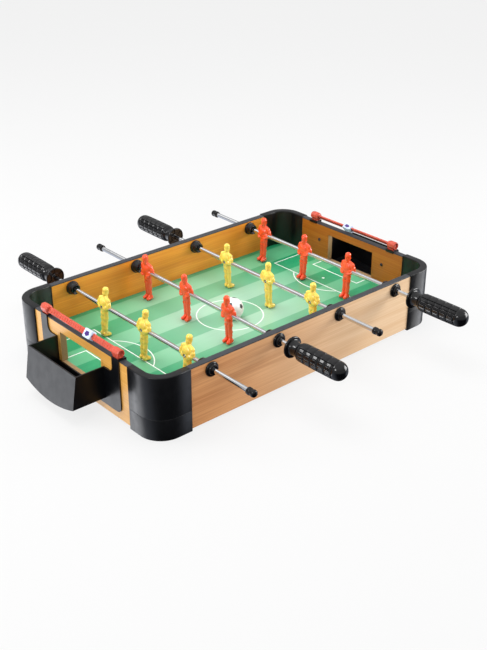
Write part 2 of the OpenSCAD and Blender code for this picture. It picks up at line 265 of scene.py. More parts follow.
class Wire:
    """A shader value that arithmetic can be written with."""

    def __init__(self, tree, socket):
        self.tree = tree
        self.socket = socket

    def math(self, operation, *others):
        node = self.tree.nodes.new("ShaderNodeMath")
        node.operation = operation
        for slot, value in zip(node.inputs, (self, *others)):
            if isinstance(value, Wire):
                self.tree.links.new(value.socket, slot)
            else:
                slot.default_value = value
        return Wire(self.tree, node.outputs[0])

    def __add__(self, other):
        return self.math("ADD", other)

    def __sub__(self, other):
        return self.math("SUBTRACT", other)

    def __mul__(self, other):
        return self.math("MULTIPLY", other)

    def __truediv__(self, other):
        return self.math("DIVIDE", other)

    def __abs__(self):
        return self.math("ABSOLUTE")

    def less(self, other):
        return self.math("LESS_THAN", other)

    def more(self, other):
        return self.math("GREATER_THAN", other)

    def most(self, other):
        return self.math("MAXIMUM", other)

    def root(self):
        return self.math("SQRT")

    def wrapped(self):
        return self.math("FRACT")

    def ramp(self, low, high, to_low=0.0, to_high=1.0):
        """Smoothly from to_low, at or below low, to to_high, at or above high."""
        node = self.tree.nodes.new("ShaderNodeMapRange")
        node.interpolation_type = "SMOOTHSTEP"
        for name, value in zip(("From Min", "From Max", "To Min", "To Max"),
                               (low, high, to_low, to_high)):
            node.inputs[name].default_value = value
        self.tree.links.new(self.socket, node.inputs["Value"])
        return Wire(self.tree, node.outputs["Result"])


class Paint:
    """A Principled material, with the nodes that its looks are wired from."""

    def __init__(self, name, roughness=0.4, **sockets):
        self.material = bpy.data.materials.new(name)
        self.material.use_nodes = True
        self.tree = self.material.node_tree
        self.shader = self.tree.nodes["Principled BSDF"]
        self.set("Roughness", roughness)
        for key, value in sockets.items():
            self.set(key.replace("_", " "), value)
        self.coordinates = self.tree.nodes.new("ShaderNodeTexCoord")

    def set(self, socket, value):
        if isinstance(value, Wire):
            self.tree.links.new(value.socket, self.shader.inputs[socket])
        else:
            self.shader.inputs[socket].default_value = value

    def parts(self, output="Object"):
        """The three parts of the place, or of the normal, in the object's own frame."""
        node = self.tree.nodes.new("ShaderNodeSeparateXYZ")
        self.tree.links.new(self.coordinates.outputs[output], node.inputs[0])
        return [Wire(self.tree, socket) for socket in node.outputs]

    def noise(self, stretch, detail=3.0, distortion=0.0):
        """Noise with stretch = cycles per metre along X, Y and Z."""
        scale = self.tree.nodes.new("ShaderNodeVectorMath")
        scale.operation = "MULTIPLY"
        scale.inputs[1].default_value = stretch
        self.tree.links.new(self.coordinates.outputs["Object"], scale.inputs[0])
        node = self.tree.nodes.new("ShaderNodeTexNoise")
        node.inputs["Scale"].default_value = 1.0
        node.inputs["Detail"].default_value = detail
        node.inputs["Distortion"].default_value = distortion
        self.tree.links.new(scale.outputs[0], node.inputs["Vector"])
        return Wire(self.tree, node.outputs["Fac"])

    def mix(self, factor, a, b):
        """The colour a where the factor is 0, and b where it is 1."""
        node = self.tree.nodes.new("ShaderNodeMix")
        node.data_type = "RGBA"
        self.tree.links.new(factor.socket, node.inputs["Factor"])
        for slot, value in zip((node.inputs[6], node.inputs[7]), (a, b)):
            if isinstance(value, Wire):
                self.tree.links.new(value.socket, slot)
            else:
                slot.default_value = (*value, 1)
        return Wire(self.tree, node.outputs[2])

    def bump(self, height, distance):
        """Bumps of up to this distance in metres."""
        node = self.tree.nodes.new("ShaderNodeBump")
        node.inputs["Distance"].default_value = distance
        self.tree.links.new(height.socket, node.inputs["Height"])
        self.tree.links.new(node.outputs[0], self.shader.inputs["Normal"])


def darker(colour, share):
    return tuple(c * share for c in colour)


# How high the fine texture on moulded plastic stands: satin, glossy and polished.
SATIN_GRAIN = 0.02 * MM
GLOSS_GRAIN = 0.006 * MM
POLISHED_GRAIN = 0.003 * MM


def moulded(name, colour, roughness, grain=GLOSS_GRAIN, **sockets):
    """Moulded plastic: slight swirls of shade, and a fine texture."""
    paint = Paint(name, roughness, **sockets)
    swirls = paint.noise((60, 60, 60), 2.0).ramp(0.3, 0.7)
    paint.set("Base Color", paint.mix(swirls, darker(colour, 0.86), colour))
    wear = paint.noise((90, 90, 90), 3.0).ramp(0.3, 0.7, roughness * 0.88, roughness * 1.12)
    paint.set("Roughness", wear)
    paint.bump(paint.noise((1500, 1500, 1500), 2.0), grain)
    return paint.material


# The wood foil's dark and light grain colours: outside, from the left end of the side
# panels to their right end, and inside. On the side panels' outer faces the left end is
# darkened with painted shade and the right end lightened with painted light.
SHADED_SIDE_FOIL = ((0.50, 0.195, 0.060), (0.72, 0.340, 0.125))
LIT_SIDE_FOIL = ((0.70, 0.45, 0.245), (0.82, 0.595, 0.38))
END_FOIL = ((0.62, 0.29, 0.045), (0.80, 0.44, 0.12))
SIDE_INNER_FOIL = ((0.75, 0.24, 0.020), (0.95, 0.39, 0.043))
# The end panels' inner colours are darker than the side panels' with painted shade.
SHADED_END_INNER_FOIL = ((0.33, 0.090, 0.007), (0.46, 0.160, 0.016))
RAW_BOARD = (0.44, 0.27, 0.13)


def wood(name, along, across, foil, far_foil, inner_foil):
    """Printed wood foil on fibreboard, with its grain along one axis of the table. Along
    that axis the outer face turns from foil at its low end to far_foil at its high end:
    painted shade towards the low end and painted light towards the high end. The inner
    face is a deeper colour, and on the end panels it is darker still with painted shade.
    The cut edges show the raw board."""
    paint = Paint(name, 0.38)
    place = paint.parts()
    normal = paint.parts("Normal")
    board_middle = (PANEL_OUT_X, PANEL_OUT_Y)[across] - PANEL_T / 2

    def grain(cycles_across, cycles_along, detail, distortion=0.0):
        """Noise drawn out along the grain, from cycles per metre."""
        stretch = [cycles_across] * 3
        stretch[along] = cycles_along
        return paint.noise(stretch, detail, distortion)

    bands = grain(42, 2.6, 5.0, 1.2).ramp(0.3, 0.7)
    fine = grain(700, 9, 3.0)
    tone = bands * 0.45 + fine.ramp(0.35, 0.75) * 0.55
    reach = (HALF_LEN, HALF_WID)[along]
    # Painted light along the outer face: painted shade at the low end, painted light at the high
    # end.
    painted_light_turn = place[along].ramp(-0.9 * reach, 0.7 * reach)
    outer = paint.mix(painted_light_turn, paint.mix(tone, *foil), paint.mix(tone, *far_foil))
    inner = paint.mix(tone, *inner_foil)
    inside = abs(place[across]).less(board_middle)
    foils = paint.mix(inside, outer, inner)
    speckle = paint.noise((1400, 1400, 1400), 2.0).ramp(0.3, 0.7)
    board = paint.mix(speckle, darker(RAW_BOARD, 0.75), RAW_BOARD)
    edge = abs(normal[across]).less(0.5)
    paint.set("Base Color", paint.mix(edge, foils, board))
    paint.set("Roughness", edge.ramp(0, 1, 0.34, 0.8))
    paint.bump(fine, 0.03 * MM)
    return paint.material


# The printed field. Its print sits a little off the middle of the board.
PRINT_AT = (1.0 * MM, 3.5 * MM)
STRIPE = 39 * MM
LINE_HALF = 0.85 * MM
CIRCLE_R = 48 * MM
PENALTY = (172 * MM, 90.5 * MM)
GOAL_AREA = (214.5 * MM, 47 * MM)
SPOT = (190 * MM, 2.2 * MM)
ARC_CENTRE = 211 * MM
ARC_R = 60.6 * MM

# Each from the middle of the field to its ends.
LIGHT_STRIPE = ((0.37, 0.60, 0.44), (0.10, 0.43, 0.21))
DARK_STRIPE = ((0.20, 0.465, 0.285), (0.010, 0.30, 0.12))
BLADES = (0.16, 0.46, 0.24)
LINE_WHITE = (0.86, 0.90, 0.86)


def printed_field(name):
    """Mown stripes, paler towards the middle, with the white lines of a pitch."""
    paint = Paint(name, 0.3)
    place = paint.parts()
    normal = paint.parts("Normal")
    x = abs(place[0] - PRINT_AT[0])
    signed_y = place[1] - PRINT_AT[1]
    y = abs(signed_y)

    # Every other stripe is darker, and the middle one is dark.
    stripe = (signed_y / (2 * STRIPE) + 0.25).wrapped().less(0.5)
    x_share = x / (HALF_LEN * 0.93)
    y_share = y / (HALF_WID * 1.25)
    outwards = (x_share * x_share + y_share * y_share).root().ramp(0.12, 0.98)
    light = paint.mix(outwards, *LIGHT_STRIPE)
    dark = paint.mix(outwards, *DARK_STRIPE)
    blades = paint.noise((25, 700, 25), 2.0).ramp(0.3, 0.7, 0.0, 0.12)
    grass = paint.mix(blades, paint.mix(stripe, light, dark), BLADES)

    def near(value, at):
        return abs(value - at).less(LINE_HALF)

    def outline(size_x, size_y):
        front = near(x, size_x) * y.less(size_y + LINE_HALF)
        return front.most(near(y, size_y) * x.more(size_x))

    def away(centre):
        dx = x - centre
        return (dx * dx + y * y).root()

    arc_line = near(away(ARC_CENTRE), ARC_R) * x.less(PENALTY[0])
    lines = near(away(0.0), CIRCLE_R).most(arc_line)
    lines = lines.most(outline(*PENALTY)).most(outline(*GOAL_AREA))
    lines = lines.most(away(SPOT[0]).less(SPOT[1]))
    printed = paint.mix(lines, grass, LINE_WHITE)
    speckle = paint.noise((900, 900, 900), 2.0).ramp(0.3, 0.7)
    board = paint.mix(speckle, darker(RAW_BOARD, 0.7), RAW_BOARD)
    top = normal[2].more(0.5)
    paint.set("Base Color", paint.mix(top, board, printed))
    paint.set("Roughness", top.ramp(0, 1, 0.8, 0.28))
    paint.bump(paint.noise((1100, 1100, 1100), 2.0), 0.01 * MM)
    return paint.material


def metal(name, colour, roughness, draw):
    """Metal with fine drawing marks. draw = cycles per metre along X, Y and Z."""
    paint = Paint(name, roughness, Metallic=1.0)
    marks = paint.noise(draw, 3.0)
    paint.set("Base Color", paint.mix(marks, darker(colour, 0.9), colour))
    paint.set("Roughness", marks.ramp(0.3, 0.7, roughness * 0.8, roughness * 1.2))
    paint.bump(marks, 0.0008 * MM)
    return paint.material


BLACK_SATIN = moulded("black_satin", (0.0028, 0.0030, 0.0040), 0.34, SATIN_GRAIN)
TRIM_SATIN = moulded("trim_satin", (0.034, 0.036, 0.043), 0.42, SATIN_GRAIN)
BLACK_GLOSS = moulded("black_gloss", (0.0022, 0.0022, 0.003), 0.15, POLISHED_GRAIN)
BLACK_RUBBER = moulded("black_rubber", (0.005, 0.005, 0.006), 0.28, SATIN_GRAIN)
YELLOW = moulded("yellow_plastic", (1.0, 0.73, 0.12), 0.17, Specular_IOR_Level=0.9,
                 Subsurface_Weight=0.2, Subsurface_Scale=4 * MM)
RED = moulded("red_plastic", (1.0, 0.095, 0.025), 0.17, Specular_IOR_Level=0.9,
              Subsurface_Weight=0.12, Subsurface_Scale=4 * MM)
RAIL_RED = moulded("rail_red", (0.57, 0.085, 0.05), 0.20, Subsurface_Weight=0.2,
                   Subsurface_Scale=4 * MM)
WHITE = moulded("white_plastic", (0.86, 0.87, 0.90), 0.25)
PALE_BLUE = moulded("pale_blue_plastic", (0.62, 0.72, 0.92), 0.2)
BLUE_INK = moulded("blue_ink", (0.06, 0.02, 0.20), 0.25)
BLACK_INK = moulded("black_ink", (0.010, 0.010, 0.012), 0.3)
CHROME = metal("chrome", (0.80, 0.81, 0.83), 0.12, (300, 6, 300))
STEEL = metal("screw_steel", (0.42, 0.42, 0.44), 0.28, (500, 500, 500))
DARK_STEEL = metal("black_screw", (0.10, 0.10, 0.11), 0.35, (500, 500, 500))
SIDE_WOOD = wood("side_wood", 0, 1, SHADED_SIDE_FOIL, LIT_SIDE_FOIL, SIDE_INNER_FOIL)
END_WOOD = wood("end_wood", 1, 0, END_FOIL, END_FOIL, SHADED_END_INNER_FOIL)
FIELD_PRINT = printed_field("printed_field")


def repaint(node, material):
    """Gives a CAD node that stays a better material."""
    obj = frame["nodes"][node]
    for slot in obj.material_slots:
        slot.material = material
    return obj


# ---- The tray ----

def soften(obj, width):
    """Rounds a CAD node's edges a little, as moulding leaves them."""
    modify(obj, "WELD", merge_threshold=0.01 * MM)
    modify(obj, "BEVEL", width=width, segments=2, limit_method="ANGLE",
           angle_limit=math.radians(40), harden_normals=False)


BOX_EDGE_R = 0.35 * MM
CORNER_R = 33 * MM
CORNER_STEPS = 32
POST_T = 10.5 * MM
POST_EDGE_R = 1.3 * MM
FOOT_EDGE_R = 0.65 * MM
SEAM_R = 0.35 * MM
LEG_END_R = 0.5 * MM
TRIM_T = 1.6 * MM
TRIM_TOP_R = 0.75 * MM
TRIM_LOW_R = 0.3 * MM


def corner_path():
    """The plan of a back right corner, from near the end of one leg to near that of the
    other, as (point, outward normal) pairs."""
    radius = CORNER_R
    centre = Vector((HALF_LEN - radius, HALF_WID - radius, 0))
    path = [(Vector((HALF_LEN - LEG + LEG_END_R, HALF_WID, 0)), Vector((0, 1, 0)))]
    for k in range(CORNER_STEPS + 1):
        a = math.pi / 2 * (1 - k / CORNER_STEPS)
        normal = Vector((math.cos(a), math.sin(a), 0))
        path.append((centre + normal * radius, normal))
    path.append((Vector((HALF_LEN, HALF_WID - LEG + LEG_END_R, 0)), Vector((1, 0, 0))))
    return path


def corner_ring(z0, z1, low_r, high_r, shrink):
    """The wall's section as (inset, z), with rounded edges and shrunk for its end faces."""
    return rounded([
        (shrink, z0 + shrink, low_r), (shrink, z1 - shrink, high_r),
        (POST_T - shrink, z1 - shrink, high_r), (POST_T - shrink, z0 + shrink, low_r)])


def corner_piece(name, corner, z0, z1, low_r, high_r):
    """A wall round a corner, with a slightly smaller section at each end of its legs."""
    ex, sy = CORNERS[corner]
    bm = bmesh.new()
    flip = Matrix.Diagonal((ex, sy, 1, 1))
    path = corner_path()
    first, last = path[0], path[-1]
    stations = [(first[0] - Vector((LEG_END_R, 0, 0)), first[1], LEG_END_R)]
    stations += [(point, normal, 0) for point, normal in path]
    stations += [(last[0] - Vector((0, LEG_END_R, 0)), last[1], LEG_END_R)]
    rings = []
    for point, normal, shrink in stations:
        rings.append([flip @ (point - normal * inset + Vector((0, 0, z)))
                      for inset, z in corner_ring(z0, z1, low_r, high_r, shrink)])
    skin_rings(bm, rings)
    return piece(name, bm, "table", BLACK_SATIN, sharp=50)


def trim_piece(name, node, along):
    """The T moulding's cap, with rounded edges."""
    low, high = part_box(node)
    bm = bmesh.new()
    under = TRIM_TOP - TRIM_T
    across = 1 - along
    inner, outer = low[across], high[across]
    section = rounded([(inner, under, TRIM_LOW_R), (outer, under, TRIM_LOW_R),
                       (outer, TRIM_TOP, TRIM_TOP_R), (inner, TRIM_TOP, TRIM_TOP_R)])
    skin_rings(bm, [[Vector((end, w, z)) if along == 0 else Vector((w, end, z))
                     for w, z in section] for end in (low[along], high[along])])
    piece(name, bm, "table", TRIM_SATIN, (node,), sharp=50)


def build_tray():
    for side in SIDES:
        repaint(f"{side}_panel", SIDE_WOOD)
        trim_piece(f"{side}_edge_trim", f"{side}_trim", 0)
    for end in ENDS:
        repaint(f"{end}_end_panel", END_WOOD)
        trim_piece(f"{end}_edge_trim", f"{end}_end_trim", 1)
        soften(repaint(f"{end}_goal_box", BLACK_SATIN), BOX_EDGE_R)
    for corner in CORNERS:
        post = corner_piece(f"{corner}_corner", corner, SEAM_Z, TABLE_H, SEAM_R, POST_EDGE_R)
        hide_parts(f"{corner}_post")
        foot = corner_piece(f"{corner}_base", corner, 0, SEAM_Z, FOOT_EDGE_R, SEAM_R)
        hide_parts(f"{corner}_foot")
    repaint("playing_field", FIELD_PRINT)


# ---- Bushings ----

def bushing_place(r, side):
    """From a frame with +Y out of the table, at the middle of its rod's hole."""
    axis = rod_axis(r)
    turn = Matrix.Rotation(math.pi if side < 0 else 0, 4, "Z")
    return Matrix.Translation((axis.x, 0, axis.z)) @ turn


def build_bushings():
    housing = in_mm([(4.65, -3), (6, -3)], PANEL_IN_Y)
    housing += in_mm([(6, 0), (9.6, 0), (10, 0.4), (10, 1.4), (9.5, 2.4), (8.6, 2.9),
                      (7.3, 3), (6.8, 3.4), (6.5, 4.4), (6, 5), (5.1, 5), (4.65, 4.6)],
                     PANEL_OUT_Y)
    bumper = in_mm([(3.6, -5), (3.6, -8.8), (4.8, -9.4), (5.5, -10.6), (6.2, -11),
                    (7, -10.75), (7.6, -9.8), (7.9, -8), (8.3, -4), (8.6, -3.3), (9.5, -3),
                    (9.9, -2.4), (9.9, -0.4), (9.6, 0), (6, 0), (6, -5)], PANEL_IN_Y)
    outside, inside = bmesh.new(), bmesh.new()
    for r in RODS:
        for side in SIDES.values():
            ring_lathe(outside, housing, bushing_place(r, side), 48)
            ring_lathe(inside, bumper, bushing_place(r, side), 48)
    piece("rod_housings", outside, "table", BLACK_GLOSS, ("bushing_housings",))
    piece("rod_bumpers", inside, "table", BLACK_RUBBER, ("bushing_bumpers",))
    for r in RODS:
        repaint(f"bearing_sleeves_{r}", BLACK_GLOSS)


# ---- Rods ----

# The grip has two smooth pads, flat ribs between them, and grooves round it.
RIBS_PER_SIDE = 5
PAD_HALF = math.radians(35)
RIB_DEPTH = 1.2 * MM
RIB_EDGE = 0.9 * MM
RING_DEPTH = 0.8 * MM
PAD_RING_DEPTH = 0.7 * MM
RING_EDGE = 1.0 * MM
GRIP_R = 13.0 * MM
GRIP_FROM = 20.5 * MM
GRIP_TO = 80.0 * MM
GRIP_RINGS = 5
GRIP_BAR = (GRIP_TO - GRIP_FROM) / GRIP_RINGS
GRIP_SWELL = 0.25 * MM
GRIP_STEPS = 216
SPOKES = 6


def groove(gap, edge, depth):
    """The depth at a distance from the middle of a smooth groove, which ends at its edge."""
    return depth * (0.5 + 0.5 * math.cos(math.pi * min(1, gap / edge)))


def grip_shape(angle, y, radius):
    """How far the grip is cut in at an angle from the top: two smooth pads, with flat
    ribs between them that ring grooves part into short bars."""
    if not GRIP_FROM < y < GRIP_TO:
        return 0
    along = ((y - GRIP_FROM) / GRIP_BAR) % 1
    ring_gap = min(along, 1 - along) * GRIP_BAR
    fold = abs((angle + math.pi / 2) % math.pi - math.pi / 2)
    if fold <= PAD_HALF:
        return -groove(ring_gap, RING_EDGE, PAD_RING_DEPTH)
    rib = (math.pi - 2 * PAD_HALF) / RIBS_PER_SIDE
    across = ((fold - PAD_HALF) / rib) % 1
    rib_gap = min(across, 1 - across) * rib * radius
    flat = 1 - math.cos(rib / 2) / math.cos((across - 0.5) * rib)
    cut = max(groove(rib_gap, RIB_EDGE, RIB_DEPTH), groove(ring_gap, RING_EDGE, RING_DEPTH))
    return -cut - flat * radius


def grip_rows():
    """(radius, y) rows along the grip, which swells a little to its middle."""
    rows = []
    for k in range(GRIP_RINGS):
        for share in (0.006, 0.03, 0.055, 0.08, 0.3, 0.7, 0.92, 0.945, 0.97, 0.994):
            y = GRIP_FROM + (k + share) * GRIP_BAR
            swell = math.sin(math.pi * (y - GRIP_FROM) / (GRIP_TO - GRIP_FROM)) ** 0.7
            rows.append((GRIP_R - (1 - swell) * GRIP_SWELL, y))
    return rows


def near_end(r):
    """How far the handle's flange is from the middle player."""
    low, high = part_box(f"handle_{r}")
    player_y = middle(f"player_{r}_middle").y
    return min(abs(low.y - player_y), abs(high.y - player_y))


def build_handle(r):
    place = rod_frame(r) @ Matrix.Translation((0, near_end(r), 0))
    dome_r = GRIP_R - 0.4 * MM
    rim = FLANGE_R
    profile = [(ROD_R, 1.4 * MM)]
    profile += in_mm([(5.6, 1.4), (5.7, 0.2), (6, 0), (6.8, 0), (7, 0.2), (7.1, 1.3)])
    # The flange, as how far in from its rim, and y
    profile += [(rim - inset * MM, y * MM) for inset, y in (
        (1.9, 1.3), (1.7, 0.3), (1.3, 0), (0.6, 0.1), (0.15, 0.6), (0, 1.4), (0.1, 2.2),
        (0.6, 2.9), (1.6, 3.2), (3, 3.5))]
    # The neck
    profile += in_mm([(10.9, 3.9), (10.1, 4.9), (9.7, 7), (9.45, 10), (9.35, 14), (9.6, 15.3),
                      (10.4, 16.4), (11.4, 17.4), (12, 18.4), (12.35, 19.8)])
    profile += grip_rows()
    # The round end
    profile += [(dome_r * math.cos(a), HANDLE_LEN - dome_r + dome_r * math.sin(a))
                for a in [math.radians(d) for d in range(2, 90, 8)]] + [(0, HANDLE_LEN)]
    bm = bmesh.new()
    rings = lathe(bm, profile, place, GRIP_STEPS, grip_shape)
    bm.faces.new(list(reversed(rings[0])))
    for k in range(SPOKES):
        spoke = place @ Matrix.Rotation(TAU * k / SPOKES, 4, "Y")
        block(bm, (-0.5 * MM, 0.35 * MM, 6.6 * MM), (0.5 * MM, 2 * MM, rim - 1.6 * MM), spoke)
    piece(f"grip_{r}", bm, f"rod_assembly_{r}", BLACK_GLOSS,
          (f"handle_{r}",), sharp=45)


def build_end_cap(r):
    low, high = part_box(f"end_cap_{r}")
    player_y = middle(f"player_{r}_middle").y
    tip = max(abs(low.y - player_y), abs(high.y - player_y))
    place = rod_frame(r) @ Matrix.Translation((0, -tip, 0))
    profile = in_mm([(0, 0), (2.2, 0.05), (3.7, 0.5), (4.6, 1.5), (4.95, 3), (5, 4.4),
                     (4.75, 4.9), (4.45, 5.2), (4.4, 7.8), (4.7, 8.2), (5, 8.8), (5, 11.9),
                     (4.8, 12.6)])
    profile += [(4.3 * MM, CAP_LEN), (ROD_R, CAP_LEN), (ROD_R, 2 * MM), (0, 2 * MM)]
    bm = bmesh.new()
    lathe(bm, profile, place, 48)
    piece(f"tip_cap_{r}", bm, f"rod_assembly_{r}", BLACK_GLOSS,
          (f"end_cap_{r}",), sharp=40)


# ---- Players ----

# How far a player reaches below and above the rod's axis.
SOLE = 43.2 * MM
CROWN = 27.6 * MM
FIGURE_VOXEL = 0.42 * MM
KEPT_FACES = 0.42

# The bore for the screw's head in a player's back: its radius, how far its middle is from
# the rod's axis, its length, and where the head sits in it.
SEAT_R = 2.9 * MM
SEAT_MIDDLE = 8.9 * MM
SEAT_LEN = 10 * MM
SCREW_SEAT = 3.9 * MM

# The screws' heads.
HEAD_R = 2.6 * MM
HEAD_T = 1.5 * MM


def figure_mesh():
    """One player about the rod's axis, in metres, with the toes towards +X."""
    bm = bmesh.new()

    def at(*values):
        return tuple(v * MM for v in values)

    # Head, with a brow, nose and chin, and hair down to the nape
    limb(bm, at(1.6, 0, 13.0), at(1.9, 0, 18.5), 3.5 * MM, 3.4 * MM, 24)
    limb(bm, at(1.9, 0, 18.5), at(1.9, 0, 23.8), 3.7 * MM, 4.45 * MM, 24)
    limb(bm, at(3.2, 0, 19.0), at(2.6, 0, 23.6), 3.2 * MM, 3.8 * MM, 24)
    egg(bm, at(0.0, 0, 19.4), at(2.9, 3.6, 4.6))
    egg(bm, at(6.4, 0, 21.0), at(0.9, 0.7, 1.4))
    egg(bm, at(5.0, 0, 17.6), at(1.5, 2.0, 1.3))
    limb(bm, at(5.6, -1.7, 23.0), at(5.6, 1.7, 23.0), 0.8 * MM, 0.8 * MM)
    # Collar, sloping shoulders, chest, back and waist
    limb(bm, at(0.6, -2.4, 13.0), at(0.6, 2.4, 13.0), 2.6 * MM, 2.6 * MM)
    egg(bm, at(1.1, 0, 5.6), at(5.5, 9.0, 8.2))
    egg(bm, at(-0.9, 0, 5.0), at(5.1, 8.8, 8.6))
    limb(bm, at(0, -6.0, 0), at(0, 6.0, 0), 5.5 * MM, 5.5 * MM, 24)
    egg(bm, at(0, 0, -4.2), at(5.0, 6.6, 5.2))
    # Hips and the shorts' waistband
    egg(bm, at(0.1, 0, -9.4), at(4.9, 6.3, 5.4))
    limb(bm, at(0.1, -3.2, -6.9), at(0.1, 3.2, -6.9), 3.2 * MM, 3.2 * MM)
    for s in (1, -1):
        # Arms, bent at the elbow, with the hands in front of the belly
        limb(bm, at(0.5, s * 2.6, 13.0), at(0.2, s * 8.6, 10.2), 2.9 * MM, 3.3 * MM)
        limb(bm, at(0.2, s * 8.8, 9.6), at(-1.0, s * 11.8, 1.4), 3.2 * MM, 2.9 * MM)
        egg(bm, at(-0.5, s * 11.0, 5.2), at(3.2, 3.0, 3.6))
        limb(bm, at(-0.9, s * 12.0, 0.8), at(4.4, s * 7.0, -3.4), 2.8 * MM, 2.2 * MM)
        egg(bm, at(5.0, s * 5.4, -3.8), at(2.2, 2.5, 2.0))
        # Legs, with the hem of the shorts, the calf and the sock
        limb(bm, at(0.1, s * 3.1, -9), at(0.3, s * 3.0, -22), 3.7 * MM, 3.1 * MM)
        limb(bm, at(0.2, s * 3.15, -16.6), at(0.2, s * 3.1, -17.4), 3.85 * MM, 3.8 * MM)
        limb(bm, at(0.3, s * 3.0, -22), at(0.3, s * 3.0, -38), 3.1 * MM, 2.7 * MM)
        egg(bm, at(-0.7, s * 3.1, -26.5), at(2.8, 2.8, 4.6))
        limb(bm, at(0.2, s * 3.0, -31.6), at(0.2, s * 3.0, -32.2), 3.15 * MM, 3.15 * MM)
        # Boots, splayed a little
        turn = Matrix.Rotation(s * 0.14, 4, "Z")
        egg(bm, at(-0.9, s * 3.2, -40.2), at(3.2, 3.2, 3.6), turn)
        limb(bm, at(-0.6, s * 3.3, -41.0), at(5.6, s * 4.2, -41.3), 2.9 * MM, 2.7 * MM)
        limb(bm, at(1.2, s * 3.2, -38.2), at(3.8, s * 3.7, -40.0), 2.7 * MM, 2.4 * MM)
    mesh = baked_mesh(bm, ("REMESH", {"mode": "VOXEL", "voxel_size": FIGURE_VOXEL}),
                      ("SMOOTH", {"factor": 0.5, "iterations": 3}))
    for vertex in mesh.vertices:
        vertex.co.z = min(max(vertex.co.z, -SOLE), CROWN)
    return mesh


def cut_figure(mesh):
    """Bores the figure for the rod, and sinks a seat for the screw in its back."""
    tool = bmesh.new()
    turn = Matrix.Rotation(-math.pi / 2, 4, "X")
    bmesh.ops.create_cone(tool, cap_ends=True, segments=48, radius1=ROD_R, radius2=ROD_R,
                          depth=60 * MM, matrix=turn)
    seat = Matrix.Translation((-SEAT_MIDDLE, 0, 0)) @ Matrix.Rotation(math.pi / 2, 4, "Y")
    bmesh.ops.create_cone(tool, cap_ends=True, segments=32, radius1=SEAT_R, radius2=SEAT_R,
                          depth=SEAT_LEN, matrix=seat)
    tool_mesh = bpy.data.meshes.new("bores")
    tool.to_mesh(tool_mesh)
    tool.free()
    cutter = bpy.data.objects.new("bores", tool_mesh)
    bpy.context.scene.collection.objects.link(cutter)
    bm = bmesh.new()
    bm.from_mesh(mesh)
    cut = baked_mesh(bm, ("DECIMATE", {"ratio": KEPT_FACES}),
                     ("BOOLEAN", {"operation": "DIFFERENCE", "object": cutter, "solver": "EXACT",
                                  "use_self": True}))
    bpy.data.objects.remove(cutter)
    return cut


def screw_head(bm, place):
    """A domed head along +Y of its place, with a cross recess."""
    dome = ((0.9, -0.3), (1, 0.1), (0.95, 0.45), (0.75, 0.8), (0.62, 0.9))
    lathe(bm, [(HEAD_R * wide, HEAD_T * high) for wide, high in dome], place, 32)
    rim = HEAD_R * 0.62
    slot = HEAD_R * 0.16
    outer, inner = [], []
    for k in range(32):
        a = TAU * k / 32
        across = Vector((rim * math.sin(a), 0, rim * math.cos(a)))
        in_slot = min(abs(across.x), abs(across.z)) < slot * 1.2
        floor = HEAD_T * (0.25 if in_slot else 0.95)
        outer.append(bm.verts.new(place @ (across + Y_AXIS * HEAD_T * 0.9)))
        inner.append(bm.verts.new(place @ (across * 0.72 + Y_AXIS * floor)))
    for i in range(32):
        j = (i + 1) % 32
        bm.faces.new((outer[i], outer[j], inner[j], inner[i]))
    centre = bm.verts.new(place @ Vector((0, 0.25 * HEAD_T, 0)))
    for i in range(32):
        bm.faces.new((inner[i], inner[(i + 1) % 32], centre))
    bmesh.ops.remove_doubles(bm, verts=bm.verts, dist=1e-7)


def build_players():
    figure = cut_figure(figure_mesh())
    meshes = {}
    for name, material in (("yellow", YELLOW), ("red", RED)):
        meshes[name] = figure.copy()
        meshes[name].materials.clear()
        meshes[name].materials.append(material)
    for r in RODS:
        team = "yellow" if r % 2 else "red"
        home = rod_frame(r)
        screws = bmesh.new()
        for spot in SPOTS:
            node = f"player_{r}_{spot}"
            y = middle(node).y
            mesh = meshes[team].copy()
            mesh.transform(Matrix.Translation((0, y - home.translation.y, 0)) @ home)
            mesh_piece(f"figure_{r}_{spot}", mesh, f"rod_assembly_{r}",
                       None, (node,), sharp=60)
            back = home.to_3x3() @ Vector((-SCREW_SEAT, 0, 0))
            seat = Vector((home.translation.x, y, home.translation.z)) + back
            screw_head(screws, Matrix.Translation(seat) @ home.to_3x3().to_4x4()
                       @ Matrix.Rotation(math.pi / 2, 4, "Z"))
        piece(f"screws_{r}", screws, f"rod_assembly_{r}", STEEL,
              (f"player_screws_{r}",))


# ---- Ends ----

def build_end_screws():
    bm = bmesh.new()
    low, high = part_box("goal_box_screws")
    reach = high.y - HEAD_R
    z = (low.z + high.z) / 2
    for sx in ENDS.values():
        turn = Matrix.Rotation(math.pi / 2 * sx, 4, "Z")
        for y in (-reach, reach):
            screw_head(bm, Matrix.Translation((sx * PANEL_IN_X, y, z)) @ turn)
    piece("box_screw_heads", bm, "table", DARK_STEEL, ("goal_box_screws",))
    repaint("field_screws", STEEL)


# The rail's bar is flat, and its face leans out. A lug ends it on each side.
BAR_TILT = math.radians(52)
BAR_WIDE = 8.2 * MM
BAR_THICK = 2.6 * MM
LUG_R = 6.0 * MM
LUG_LEN = 15.0 * MM
TICK_PITCH = 5.0 * MM


def rail_place(end):
    """From a frame with X across the flat of the rail's bar and Z out of its face."""
    low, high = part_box(f"{end}_score_rail")
    turn = Matrix.Rotation(0 if end == "right" else math.pi, 4, "Z")
    centre = Vector(((low.x + high.x) / 2, 0, high.z - LUG_R))
    return Matrix.Translation(centre) @ turn @ Matrix.Rotation(BAR_TILT, 4, "Y")


def eight_sided(angle, y, radius):
    """How far a round shape is cut in at an angle to leave eight soft sides."""
    across = (angle + math.pi / 8) % (math.pi / 4) - math.pi / 8
    return radius * 0.8 * (math.cos(math.pi / 8) / math.cos(across) - 1)


